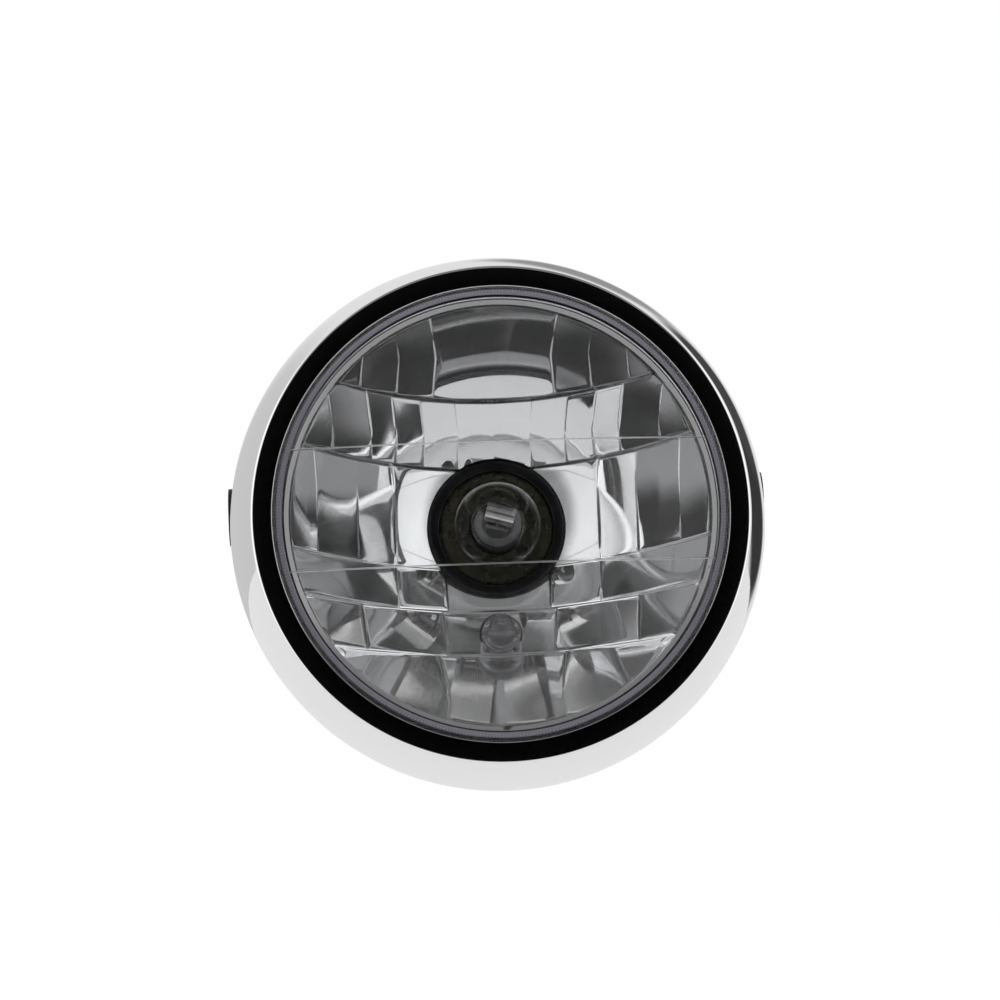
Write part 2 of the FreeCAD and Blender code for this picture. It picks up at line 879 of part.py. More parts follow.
def screw_disc(diameter, low, high):
    """Disc on the two rim screws' axes, between two distances from the lamp axis."""
    disc = bar(diameter, Vector(low, screw_station, 0), Vector(high, screw_station, 0))
    return [spun(disc, angle) for angle in screw_angles]


def spot_faces():
    """Flats cut outside and inside each mount pad, for the spacer and for the weld nut."""
    seat = mount_pad_face - mount_pad_thickness
    outside = side_disc(spacer_d + 2 * gasket_clearance, mount_pad_face, mount_pad_face + spacer_thickness)
    inside = side_disc(weld_nut_flange_d + 2 * gasket_clearance, seat - weld_nut_length, seat)
    return outside + inside


def make_bucket():
    screw_pads = screw_disc(screw_pad_d, screw_seat, bucket_inner_r + bucket_wall / 2)
    mount_pads = side_disc(mount_pad_d, mount_pad_face - mount_pad_thickness, mount_pad_face)
    body = joined([bucket_shell()] + screw_pads + mount_pads)
    recesses = screw_disc(screw_recess_d, screw_recess_face, bucket_r + bucket_wall)
    screw_holes = screw_disc(screw_d + 2 * gasket_clearance, screw_seat - bucket_wall, bucket_r)
    bolt_holes = side_disc(mount_bolt_hole_d, mount_pad_face - 2 * mount_pad_thickness, bucket_r)
    return body.cut(recesses + screw_holes + bolt_holes + spot_faces()).Solids[0]


def make_rim_gasket():
    return ring(lip_r + gasket_clearance, rim_inner_r(0) + gasket_overhang, 0, gasket_thickness)


def make_grommet():
    bore_r = cable_bore_d / 2
    flange_r = cable_hole_r + grommet_flange_width
    wall_front = bucket_depth - bucket_wall
    body = turned_polygon([
        (bore_r, wall_front - grommet_inner_flange),
        (flange_r, wall_front - grommet_inner_flange),
        (flange_r, wall_front),
        (cable_hole_r, wall_front),
        (cable_hole_r, bucket_depth),
        (flange_r, bucket_depth),
        (flange_r, rear_reach),
        (bore_r, rear_reach),
    ])
    return rounded(body, grommet_round, [(flange_r, rear_reach)])


# Side mounts: a spacer outside and a weld nut inside each pad

def on_mount_axis(shape, side):
    """Piece drawn along +X from the middle, placed on the right (1) or left (-1) mount axis."""
    if side < 0:
        shape.rotate(Vector(), Vector(0, 0, 1), 180)
    shape.translate(Vector(0, mount_station, mount_rise))
    return shape


def make_spacer(side):
    start = Vector(mount_pad_face, 0, 0)
    end = Vector(mount_pad_face + spacer_thickness, 0, 0)
    body = bar(spacer_d, start, end)
    outer_edges = [edge for edge in body.Edges if abs(edge.CenterOfMass.x - end.x) < spacer_round]
    body = body.makeFillet(spacer_round, [e for e in outer_edges if isinstance(e.Curve, Part.Circle)])
    return on_mount_axis(body.cut(bar(mount_bolt_hole_d, Vector(), end)), side)


def make_weld_nut(side):
    seat = mount_pad_face - mount_pad_thickness
    corner_r = weld_nut_across / math.sqrt(3)
    hexagon = []
    for turn in range(7):
        angle = math.radians(60 * turn)
        hexagon.append(Vector(seat, corner_r * math.cos(angle), corner_r * math.sin(angle)))
    body = Part.Face(Part.makePolygon(hexagon)).extrude(Vector(-weld_nut_length, 0, 0))
    flange = bar(weld_nut_flange_d, Vector(seat - weld_nut_flange, 0, 0), Vector(seat, 0, 0))
    thread = bar(mount_thread_d, Vector(seat - 2 * weld_nut_length, 0, 0), Vector(seat + weld_nut_flange, 0, 0))
    return on_mount_axis(joined([body, flange]).cut(thread), side)


# Rim fixings

tab_foot_front = tab_foot_station - tab_foot_depth


def rim_foot(width):
    """Foot of a tab, welded to the inside of the rim's side."""
    reach = plate((tab_inner, rim_r), (tab_foot_front, tab_foot_station), width)
    return reach.common(rim_cavity())


def make_rim_tabs():
    end = screw_station + tab_end_margin
    strip = plate((tab_inner, tab_outer), (tab_foot_front, end), tab_width)
    hole = bar(screw_d + 2 * gasket_clearance, Vector(0, screw_station, 0), Vector(rim_r, screw_station, 0))
    tab = joined([strip, rim_foot(tab_width)]).cut(hole)
    return Part.makeCompound([spun(tab, angle) for angle in screw_angles])


def make_rim_hook():
    strip = plate((tab_inner, tab_outer), (tab_foot_front, tab_foot_station + hook_reach), tab_width)
    return spun(joined([strip, rim_foot(tab_width)]), 90)


def make_clip_nuts():
    """Folded nut that grips the end of each tab, with one leaf on either side."""
    end = screw_station + tab_end_margin + clip_nut_thickness
    front = end - clip_nut_length
    outside = plate((tab_inner - clip_nut_thickness, tab_outer + clip_nut_thickness), (front, end), clip_nut_width)
    slot = plate((tab_inner, tab_outer), (front, end - clip_nut_thickness), clip_nut_width)
    hole = bar(screw_d, Vector(0, screw_station, 0), Vector(rim_r, screw_station, 0))
    nut = outside.cut([slot, hole])
    return Part.makeCompound([spun(nut, angle) for angle in screw_angles])


def make_rim_screws():
    head_top = screw_recess_face + screw_head_height
    seat = Vector(screw_recess_face, screw_station, 0)
    shank = bar(screw_d, seat - Vector(screw_length, 0, 0), seat)
    head = bar(screw_head_d, seat, seat + Vector(screw_head_height, 0, 0))
    low = head_top - screw_slot_depth
    cuts = []
    for width, length in ((screw_slot_width, screw_head_d * 0.6), (screw_head_d * 0.6, screw_slot_width)):
        corner = Vector(low, screw_station - length / 2, -width / 2)
        cuts.append(Part.makeBox(2 * screw_slot_depth, length, width, corner))
    screw = joined([shank, head]).cut(cuts)
    return Part.makeCompound([spun(screw, angle) for angle in screw_angles])


def make_spring_clips():
    """Sprung strips that bear on the back of the reflector's flange and on the rim's side."""
    seat = flange_back + reflector_flange
    top = seat + spring_clip_rise
    foot_r = channel_r + spring_clip_clearance
    knee_r = (lens_r + rim_inner_r(top)) / 2
    thick = spring_clip_thickness
    outline = [
        (foot_r, seat),
        (knee_r, seat),
        (rim_r, top - thick),
        (rim_r, top),
        (knee_r - thick, seat + thick),
        (foot_r, seat + thick),
    ]
    corners = [Vector(r, station, -spring_clip_width / 2) for r, station in outline]
    strip = Part.Face(Part.makePolygon(corners + corners[:1])).extrude(Vector(0, 0, spring_clip_width))
    strip = strip.common(rim_cavity())
    turn = 360 / spring_clip_count
    return Part.makeCompound([spun(strip, turn * i) for i in range(spring_clip_count)])


# Build and export

pieces = {
    "rim": make_rim,
    "lens": make_lens,
    "lens_seal": make_lens_seal,
    "lens_sealant": make_sealant,
    "reflector": make_reflector,
    "reflector_spring_clips": make_spring_clips,
    "bulb_collar": make_collar,
    "main_bulb_glass": make_bulb_glass,
    "main_bulb_cap": make_bulb_cap,
    "main_bulb_stem": make_bulb_stem,
    "main_bulb_supports": make_supports,
    "main_bulb_shield": make_shield,
    "low_beam_filament": lambda: filament(filament_height),
    "high_beam_filament": lambda: filament(filament_height - filament_spread),
    "main_bulb_insulator": make_cap_insulator,
    "main_bulb_contacts": make_cap_contacts,
    "bulb_socket": make_socket,
    "socket_contact_leaves": make_contact_leaves,
    "pilot_bulb_glass": make_pilot_glass,
    "pilot_bulb_filament": make_pilot_filament,
    "pilot_bulb_holder": make_pilot_holder,
    "bucket": make_bucket,
    "rim_gasket": make_rim_gasket,
    "cable_grommet": make_grommet,
    "left_mount_spacer": lambda: make_spacer(-1),
    "right_mount_spacer": lambda: make_spacer(1),
    "left_weld_nut": lambda: make_weld_nut(-1),
    "right_weld_nut": lambda: make_weld_nut(1),
    "rim_tabs": make_rim_tabs,
    "rim_hook": make_rim_hook,
    "rim_clip_nuts": make_clip_nuts,
    "rim_screws": make_rim_screws,
}

os.makedirs("parts", exist_ok=True)
for name, make in pieces.items():
    piece = make()
    piece.translate(row_frame_shift)
    piece.exportStep(os.path.join("parts", name + ".step"))
    solids = len(piece.Solids)
    print(f"{name}: {solids} solid(s), {piece.Volume / 1000:.2f} cm3, valid {piece.isValid()}")
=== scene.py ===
import bmesh
import bpy
import math
from mathutils import Matrix, Quaternion, Vector


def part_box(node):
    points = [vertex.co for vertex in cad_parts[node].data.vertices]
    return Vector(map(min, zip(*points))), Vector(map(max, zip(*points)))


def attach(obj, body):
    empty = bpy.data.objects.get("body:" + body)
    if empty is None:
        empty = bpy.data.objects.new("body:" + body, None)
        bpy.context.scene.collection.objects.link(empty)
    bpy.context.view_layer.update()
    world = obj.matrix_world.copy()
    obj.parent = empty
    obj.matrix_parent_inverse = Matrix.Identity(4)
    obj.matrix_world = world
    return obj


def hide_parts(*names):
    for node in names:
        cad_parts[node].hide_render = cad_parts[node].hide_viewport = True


# Round motorcycle headlight, put together from the bucket at the back to the rim at the front.
# The lamp looks along -Y. Shapes are drawn in millimetres, by radius and by station, which is the
# distance behind the rim's rear edge.
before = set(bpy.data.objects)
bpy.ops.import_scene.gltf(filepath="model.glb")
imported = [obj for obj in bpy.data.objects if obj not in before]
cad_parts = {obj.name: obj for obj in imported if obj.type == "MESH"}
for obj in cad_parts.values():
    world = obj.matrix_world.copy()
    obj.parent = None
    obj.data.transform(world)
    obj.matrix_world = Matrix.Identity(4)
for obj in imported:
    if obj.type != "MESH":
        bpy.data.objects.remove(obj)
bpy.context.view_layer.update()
MM = 0.001
rim_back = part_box("rim")[1][1]


# Bucket: the deep-drawn steel shell behind the rim, sprayed gloss black.
# It is the frame's own solid, with flat pads for the side bolts and recesses for the rim screws.

def new_group(name, inputs, outputs):
    """Empty shader group with named value sockets in and named sockets out."""
    group = bpy.data.node_groups.new(name, "ShaderNodeTree")
    for label, value in inputs:
        socket = group.interface.new_socket(label, in_out="INPUT", socket_type="NodeSocketFloat")
        socket.default_value = value
    for label, kind in outputs:
        group.interface.new_socket(label, in_out="OUTPUT", socket_type=kind)
    entry = group.nodes.new("NodeGroupInput")
    leave = group.nodes.new("NodeGroupOutput")
    place = group.nodes.new("ShaderNodeTexCoord")
    return group, entry, leave, place.outputs["Object"]


# Skin: the fine unevenness of a sprayed, moulded or drawn surface. Scale is in grains per metre.
skin, entry, leave, place = new_group(
    "skin",
    [("Scale", 900.0), ("Height", 0.1)],
    [("Normal", "NodeSocketVector")],
)
grains = skin.nodes.new("ShaderNodeTexNoise")
grains.inputs["Detail"].default_value = 3
bump = skin.nodes.new("ShaderNodeBump")
bump.inputs["Distance"].default_value = 0.0002
skin.links.new(place, grains.inputs["Vector"])
skin.links.new(entry.outputs["Scale"], grains.inputs["Scale"])
skin.links.new(entry.outputs["Height"], bump.inputs["Strength"])
skin.links.new(grains.outputs["Fac"], bump.inputs["Height"])
skin.links.new(bump.outputs["Normal"], leave.inputs["Normal"])

# Handling: patches where a finish has been rubbed duller, between two roughnesses.
handling, entry, leave, place = new_group(
    "handling",
    [("Scale", 60.0), ("Polished", 0.05), ("Rubbed", 0.2)],
    [("Roughness", "NodeSocketFloat"), ("Mask", "NodeSocketFloat")],
)
patches = handling.nodes.new("ShaderNodeTexNoise")
patches.inputs["Detail"].default_value = 6
patches.inputs["Roughness"].default_value = 0.65
spread = handling.nodes.new("ShaderNodeMapRange")
spread.inputs["From Min"].default_value = 0.35
spread.inputs["From Max"].default_value = 0.7
handling.links.new(place, patches.inputs["Vector"])
handling.links.new(entry.outputs["Scale"], patches.inputs["Scale"])
handling.links.new(patches.outputs["Fac"], spread.inputs["Value"])
handling.links.new(entry.outputs["Polished"], spread.inputs["To Min"])
handling.links.new(entry.outputs["Rubbed"], spread.inputs["To Max"])
handling.links.new(spread.outputs["Result"], leave.inputs["Roughness"])
handling.links.new(patches.outputs["Fac"], leave.inputs["Mask"])


def finish(name, grain, rubbing, tones, **values):
    """Material with a skin of some grain, rubbed marks that blend two tones, and plain socket values."""
    material = bpy.data.materials.new(name)
    material.use_nodes = True
    nodes = material.node_tree.nodes
    links = material.node_tree.links
    shader = nodes["Principled BSDF"]
    for socket, value in values.items():
        shader.inputs[socket.replace("_", " ")].default_value = value
    surface = nodes.new("ShaderNodeGroup")
    surface.node_tree = skin
    for socket, value in zip(surface.inputs, grain):
        socket.default_value = value
    marks = nodes.new("ShaderNodeGroup")
    marks.node_tree = handling
    for socket, value in zip(marks.inputs, rubbing):
        socket.default_value = value
    tint = nodes.new("ShaderNodeMix")
    tint.data_type = "RGBA"
    tint.inputs["A"].default_value = (*tones[0], 1)
    tint.inputs["B"].default_value = (*tones[1], 1)
    links.new(marks.outputs["Mask"], tint.inputs["Factor"])
    links.new(tint.outputs["Result"], shader.inputs["Base Color"])
    links.new(marks.outputs["Roughness"], shader.inputs["Roughness"])
    links.new(surface.outputs["Normal"], shader.inputs["Normal"])
    return material


def dress(material, *nodes):
    """Gives a material to the frame's own solids."""
    for node in nodes:
        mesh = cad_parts[node].data
        mesh.materials.clear()
        mesh.materials.append(material)


bucket_paint = finish(
    "bucket_black_paint",
    grain=(420.0, 0.06),
    rubbing=(45.0, 0.12, 0.24),
    tones=((0.010, 0.010, 0.011), (0.018, 0.018, 0.019)),
    Coat_Weight=0.7,
    Coat_Roughness=0.05,
)
dress(bucket_paint, "bucket")


# Rubber pieces: the grommet in the bucket's back, the gasket behind the rim, the lens seal and the
# pilot bulb's holder. They are moulded in black rubber, with a dull grain and a little dust in it.

black_rubber = finish(
    "black_rubber",
    grain=(2600.0, 0.35),
    rubbing=(90.0, 0.5, 0.75),
    tones=((0.014, 0.014, 0.014), (0.035, 0.034, 0.033)),
    Specular_IOR_Level=0.35,
)
dress(black_rubber, "cable_grommet", "rim_gasket", "lens_seal", "pilot_bulb_holder")


# Fixings: weld nuts for the side bolts, tabs and a hook welded in the rim, clip nuts, screws and
# spring clips. All are steel, zinc plated and passivated to a faint yellow.

plated_steel = finish(
    "plated_steel",
    grain=(3200.0, 0.12),
    rubbing=(220.0, 0.22, 0.42),
    tones=((0.60, 0.59, 0.55), (0.70, 0.66, 0.54)),
    Metallic=1.0,
)
dress(
    plated_steel,
    "left_weld_nut", "right_weld_nut", "rim_tabs", "rim_hook", "rim_clip_nuts", "rim_screws",
    "reflector_spring_clips",
)


# Reflector: a moulded bowl, metallised in vacuum, whose inside is a grid of concave facets. Each is a
# piece of a ball that touches one parabola, and the steps between them have rounded edges.
# Its flange is clamped behind the lens in the rim.

BOWL_R = 65.55
BOWL_EDGE = -21.3
BOWL_FRONT = -25.8
BOWL_FOCUS = 25.0
BOWL_WALL = 7.5
COLLAR_HOLE_R = 22.35
COLLAR_HOLE_DEPTH = 6.0
NECK_R = 25.2
NECK_BACK = 24.17
PILOT_HEIGHT = -34.5
PILOT_HOLE_R = 6.9
PILOT_HOLE_DEPTH = 8.0
GROOVE_IN_R = 66.95
GROOVE_OUT_R = 70.25
GROOVE_FLOOR = -22.9
FLANGE_R = 74.3
FLANGE_FRONT = -26.3
FLANGE_BACK = -23.3
SHELL_R = 72.25
SHELL_FRONT = -17.0
FACET_DRAFT = math.tan(math.radians(8))
ROW_SHARES = (0.6, 0.29, -0.194, -0.403, -0.627)
COLUMN_SHARES = (
    (0.275, 0.452, 0.626),
    (0.0, 0.174, 0.342, 0.476, 0.597, 0.778),
    (0.496, 0.674, 0.867),
    (0.247, 0.49),
    (0.259, 0.65),
    (0.0, 0.27),
)
ROW_SETBACKS = (-1.2, 0.0, 1.2, 2.2, 3.0, 3.6)
FACET_LIFT = 1.5
FLATTEST_R = 200.0
EDGE_ROUND = 0.55
GRID_STEP = 1.1
AT_EDGE = BOWL_R - 0.02
PAST_EDGE = BOWL_R + 3
CUT_SLACK = 0.001
MERGE_WITHIN = 0.0005


def parabola(x, z):
    return BOWL_EDGE + (BOWL_R**2 - x**2 - z**2) / (4 * BOWL_FOCUS)


def clamp(value, limit):
    return max(-limit, min(limit, value))


class Facet:
    """One facet: its side and row walls, and the ball that it is a piece of."""

    def __init__(self, x_range, z_range, setback):
        self.x_range = x_range
        self.z_range = z_range
        self.middle = sum(clamp(z, BOWL_R) for z in z_range) / 2
        half_chord = math.sqrt(BOWL_R**2 - self.middle**2)
        x = sum(clamp(edge, half_chord) for edge in x_range) / 2
        half_size = max(
            abs(x - clamp(x_range[0], half_chord)),
            abs(self.middle - clamp(z_range[0], BOWL_R)),
        )
        curve = 1 / (2 * BOWL_FOCUS) - 2 * FACET_LIFT / half_size**2
        self.radius = 1 / max(curve, 1 / FLATTEST_R)
        outward = Vector((x / (2 * BOWL_FOCUS), 1, self.middle / (2 * BOWL_FOCUS))).normalized()
        touch = Vector((x, parabola(x, self.middle) + setback, self.middle))
        self.centre = touch - outward * self.radius

    def depth(self, x, z):
        """Station of the facet's ball at a place of the front view."""
        away = (x - self.centre.x)**2 + (z - self.centre.z)**2
        return self.centre.y + math.sqrt(max(self.radius**2 - away, 0))

    def wall_x(self, offset, station):
        """Sideways place of a side wall at a station. Walls lean outwards to the front."""
        if offset == 0 or abs(offset) >= PAST_EDGE:
            return offset
        lean = FACET_DRAFT * (parabola(offset, self.middle) - station)
        return offset + math.copysign(lean, offset)

    def wall_z(self, height, station):
        """Height of a row wall at a station."""
        if abs(height) >= PAST_EDGE:
            return height
        return height + FACET_DRAFT * (parabola(0, height) - station)

    def place(self, u, v):
        """Point of the facet at shares u and v of its width and height."""
        x, z = 0.0, self.middle
        station = self.depth(x, z)
        for _ in range(8):
            low, high = (self.wall_z(edge, station) for edge in self.z_range)
            left, right = (self.wall_x(edge, station) for edge in self.x_range)
            if abs(self.x_range[0]) >= PAST_EDGE or abs(self.x_range[1]) >= PAST_EDGE:
                inner = min(abs(left), abs(right))
                limit = math.sqrt(BOWL_R**2 - inner**2)
                low, high = max(low, -limit), min(high, limit)
                z = low + v * (high - low)
                chord = math.sqrt(max(BOWL_R**2 - z**2, inner**2))
                left, right = max(left, -chord), min(right, chord)
                x = left + u * (right - left)
            else:
                x = left + u * (right - left)
                chord = math.sqrt(BOWL_R**2 - x**2)
                low, high = max(low, -chord), min(high, chord)
                z = low + v * (high - low)
            station = self.depth(x, z)
        return Vector((x, station, z))


def reflector_rows():
    heights = [PAST_EDGE, *(share * BOWL_R for share in ROW_SHARES), -PAST_EDGE]
    rows = []
    for top, bottom, shares, setback in zip(heights, heights[1:], COLUMN_SHARES, ROW_SETBACKS):
        edges = [-PAST_EDGE] + sorted({s * x * BOWL_R for x in shares for s in (-1, 1)}) + [PAST_EDGE]
        rows.append([Facet(x_range, (bottom, top), setback) for x_range in zip(edges, edges[1:])])
    return rows


def beyond(rows, row, column, side, spot):
    """Station of what lies across one border of a facet: its neighbour, or the bowl's front edge."""
    if math.hypot(spot.x, spot.z) > AT_EDGE:
        return BOWL_FRONT
    if side in ("left", "right"):
        next_column = column + (1 if side == "right" else -1)
        return rows[row][next_column].depth(spot.x, spot.z)
    for facet in rows[row + (1 if side == "bottom" else -1)]:
        if facet.wall_x(facet.x_range[0], spot.y) <= spot.x <= facet.wall_x(facet.x_range[1], spot.y):
            return facet.depth(spot.x, spot.z)


def shares_along(length):
    """Places along one direction of a facet, close together near both ends for the rounded edges."""
    near = [EDGE_ROUND * share for share in (0, 0.08, 0.25, 0.5, 0.75, 1)]
    count = max(6, round((length - 2 * EDGE_ROUND) / GRID_STEP))
    step = (length - 2 * EDGE_ROUND) / count
    inner = [EDGE_ROUND + step * i for i in range(1, count)]
    places = near + inner + [length - offset for offset in reversed(near)]
    return [place / length for place in places]


def wall_foot(facet, side, spot, station):
    """Where the wall below a border point ends, at the station of what lies across."""
    if math.hypot(spot.x, spot.z) > AT_EDGE:
        return Vector((spot.x, station, spot.z))
    if side in ("left", "right"):
        offset = facet.x_range[1 if side == "right" else 0]
        return Vector((facet.wall_x(offset, station), station, spot.z))
    height = facet.z_range[1 if side == "top" else 0]
    return Vector((spot.x, station, facet.wall_z(height, station)))


def lay_facet(mesh, rows, row, column):
    """Lays a fine grid over one facet, rounds its borders and walls them to what lies across."""
    facet = rows[row][column]
    width = facet.place(1, 0.5).x - facet.place(0, 0.5).x
    height = facet.place(0.5, 1).z - facet.place(0.5, 0).z
    across = shares_along(width)
    up = shares_along(height)
    last_u, last_v = len(across) - 1, len(up) - 1
    grid = bmesh.ops.create_grid(mesh, x_segments=last_u, y_segments=last_v, size=0.5)
    walls = {side: {} for side in ("left", "right", "bottom", "top")}
    for vert in grid["verts"]:
        i = round((vert.co.x + 0.5) * last_u)
        j = round((vert.co.y + 0.5) * last_v)
        u, v = across[i], up[j]
        shift = 0.0
        sides = (
            ("left", u * width, (0, v), j),
            ("right", (1 - u) * width, (1, v), j),
            ("bottom", v * height, (u, 0), i),
            ("top", (1 - v) * height, (u, 1), i),
        )
        for side, away, border, order in sides:
            if away >= EDGE_ROUND:
                continue
            spot = facet.place(*border)
            station = beyond(rows, row, column, side, spot)
            if station is None:
                continue
            rise = station - spot.y
            bend = 1 - math.sqrt(1 - (1 - away / EDGE_ROUND)**2)
            shift += math.copysign(min(EDGE_ROUND, abs(rise) / 2) * bend, rise)
            if away < 1e-6 and (rise > 0 or station == BOWL_FRONT):
                walls[side][order] = (vert, wall_foot(facet, side, spot, station))
        vert.co = facet.place(u, v) + Vector((0, clamp(shift, EDGE_ROUND), 0))
    for wall in walls.values():
        feet = {order: mesh.verts.new(foot) for order, (vert, foot) in wall.items()}
        for order in wall:
            if order + 1 in wall:
                mesh.faces.new((wall[order][0], wall[order + 1][0], feet[order + 1], feet[order]))


def open_hole(mesh, height, radius, depth):
    """Cuts a round hole on the lamp's middle line and draws its edge back into a wall."""
    def flat(vert):
        return Vector((vert.co.x, vert.co.z - height))

    rim_verts = []
    for edge in list(mesh.edges):
        start, end = (flat(vert) for vert in edge.verts)
        if (start.length < radius) != (end.length < radius):
            run = end - start
            half = start.dot(run) / run.length_squared
            root = math.sqrt(half**2 - (start.length_squared - radius**2) / run.length_squared)
            share = root - half if start.length < radius else -half - root
            rim_verts.append(bmesh.utils.edge_split(edge, edge.verts[0], share)[1])
    bmesh.ops.connect_verts(mesh, verts=rim_verts)
    inside = [
        face for face in mesh.faces
        if all(flat(vert).length < radius + CUT_SLACK for vert in face.verts)
    ]
    bmesh.ops.delete(mesh, geom=inside, context="FACES")
    hole_rim = {vert for vert in rim_verts if vert.is_valid}
    edges = [edge for edge in mesh.edges if edge.is_boundary and hole_rim.issuperset(edge.verts)]
    drawn = bmesh.ops.extrude_edge_only(mesh, edges=edges)
    for item in drawn["geom"]:
        if isinstance(item, bmesh.types.BMVert):
            item.co.y += depth


def new_piece(name, mesh, material, nodes, sharp_deg=35):
    """Turns a drawing in millimetres into a piece that stands for the frame's nodes."""
    bmesh.ops.remove_doubles(mesh, verts=mesh.verts, dist=MERGE_WITHIN)
    for vert in mesh.verts:
        vert.co = Vector((vert.co.x * MM, rim_back + vert.co.y * MM, vert.co.z * MM))
    bmesh.ops.recalc_face_normals(mesh, faces=mesh.faces)
    for face in mesh.faces:
        face.smooth = True
    for edge in mesh.edges:
        edge.smooth = edge.calc_face_angle(0) < math.radians(sharp_deg)
    data = bpy.data.meshes.new(name)
    mesh.to_mesh(data)
    mesh.free()
    data.materials.append(material)
    piece = bpy.data.objects.new(name, data)
    bpy.context.collection.objects.link(piece)
    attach(piece, "root")
    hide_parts(*nodes)
    return piece


def soften(outline, segments=6, most=0.49):
    """Points of an outline of (radius, station, round) corners. A round takes a share of a side at most."""
    points = []
    for i, (r, station, fillet) in enumerate(outline):
        corner = Vector((r, station))
        if fillet == 0:
            points.append(corner)
            continue
        before = Vector(outline[i - 1][:2]) - corner
        after = Vector(outline[(i + 1) % len(outline)][:2]) - corner
        half = before.angle(after) / 2
        reach = min(fillet / math.tan(half), most * before.length, most * after.length)
        turn_r = reach * math.tan(half)
        before.normalize()
        after.normalize()
        middle = corner + (before + after).normalized() * (turn_r / math.sin(half))
        start = corner + before * reach - middle
        end = corner + after * reach - middle
        swing = start.angle(end)
        for k in range(segments + 1):
            share = k / segments
            blend = start * math.sin((1 - share) * swing) + end * math.sin(share * swing)
            points.append(middle + blend / math.sin(swing))
    return points


def turn(mesh, points, steps=192, closed=True):
    """Turns an outline of (radius, station) points about the lamp axis into the drawing."""
    verts = [mesh.verts.new((r, station, 0)) for r, station in points]
    pairs = list(zip(verts, verts[1:]))
    if closed:
        pairs.append((verts[-1], verts[0]))
    edges = [mesh.edges.new(pair) for pair in pairs]
    bmesh.ops.spin(
        mesh, geom=verts + edges, cent=(0, 0, 0), axis=(0, 1, 0),
        angle=math.tau, steps=steps, use_merge=True,
    )


reflector = bmesh.new()
rows = reflector_rows()
for row in range(len(rows)):
    for column in range(len(rows[row])):
        lay_facet(reflector, rows, row, column)
open_hole(reflector, 0, COLLAR_HOLE_R, COLLAR_HOLE_DEPTH)
open_hole(reflector, PILOT_HEIGHT, PILOT_HOLE_R, PILOT_HOLE_DEPTH)
bowl_back = [(r, parabola(r, 0) + BOWL_WALL) for r in (66.8, 60.0, 52.0, 44.0, 36.0, NECK_R)]
back_outline = [
    (BOWL_R, BOWL_FRONT),
    (GROOVE_IN_R, FLANGE_FRONT), (GROOVE_IN_R, GROOVE_FLOOR),
    (GROOVE_OUT_R, GROOVE_FLOOR), (GROOVE_OUT_R, FLANGE_FRONT),
    (FLANGE_R, FLANGE_FRONT), (FLANGE_R, FLANGE_BACK),
    (SHELL_R, FLANGE_BACK), (SHELL_R, SHELL_FRONT),
    *bowl_back,
    (NECK_R, NECK_BACK), (COLLAR_HOLE_R, NECK_BACK),
]
turn(reflector, back_outline, closed=False)
mirror = finish(
    "reflector_mirror",
    grain=(160.0, 0.012),
    rubbing=(70.0, 0.015, 0.05),
    tones=((0.90, 0.90, 0.91), (0.86, 0.86, 0.87)),
    Metallic=0.95,
)
new_piece("reflector_bowl", reflector, mirror, ["reflector"], sharp_deg=50)


# Pilot bulb: a small capless lamp pushed through the bowl's lower part in a rubber holder.
# Its glass is a round-ended tube, pinched flat at the back, with one fine filament inside.

bulb_glass = bpy.data.materials.new("bulb_glass")
bulb_glass.use_nodes = True
shader = bulb_glass.node_tree.nodes["Principled BSDF"]
shader.inputs["Base Color"].default_value = (0.98, 0.985, 0.985, 1)
shader.inputs["Roughness"].default_value = 0.0
shader.inputs["IOR"].default_value = 1.47
shader.inputs["Transmission Weight"].default_value = 1.0
glass_skin = bulb_glass.node_tree.nodes.new("ShaderNodeGroup")
glass_skin.node_tree = skin
glass_skin.inputs["Scale"].default_value = 110.0
glass_skin.inputs["Height"].default_value = 0.05
bulb_glass.node_tree.links.new(glass_skin.outputs["Normal"], shader.inputs["Normal"])


def ball_front(radius, middle, last=math.pi / 2, count=14):
    """Points of a ball about a station, from its front pole round to an angle."""
    angles = [last * k / count for k in range(count + 1)]
    return [(radius * math.sin(angle), middle - radius * math.cos(angle)) for angle in angles]


PILOT_R = 6.2
PILOT_WALL = 0.6
PILOT_PROUD = 11.0
PILOT_SUNK = 6.6
pilot_seat = parabola(0, PILOT_HEIGHT)
pilot_round = pilot_seat + ROW_SETBACKS[4] - PILOT_PROUD + PILOT_R
pilot_back = pilot_seat + PILOT_SUNK
pilot = bmesh.new()
for depth in (0.0, PILOT_WALL):
    radius, back = PILOT_R - depth, pilot_back - depth
    turn(pilot, ball_front(radius, pilot_round) + [(radius, back), (0, back)], 64, closed=False)
for vert in pilot.verts:
    vert.co.z += PILOT_HEIGHT
pilot_glass = bulb_glass.copy()
pilot_glass.name = "pilot_glass"
shader = pilot_glass.node_tree.nodes["Principled BSDF"]
shader.inputs["Base Color"].default_value = (0.93, 0.93, 0.95, 1)
shader.inputs["Roughness"].default_value = 0.09
shader.inputs["Transmission Weight"].default_value = 0.88
new_piece("pilot_bulb", pilot, pilot_glass, ["pilot_bulb_glass"])

filament_metal = finish(
    "filament_metal",
    grain=(5000.0, 0.3),
    rubbing=(800.0, 0.35, 0.55),
    tones=((0.30, 0.30, 0.32), (0.42, 0.41, 0.40)),
    Metallic=1.0,
)
dress(filament_metal, "pilot_bulb_filament")


# Main bulb: a round glass on a metal cap, with two coiled filaments, a shield under the upper one and
# a stem. The cap's dished skirt centres it in a black collar, and a plastic socket with sprung
# contacts plugs on behind.

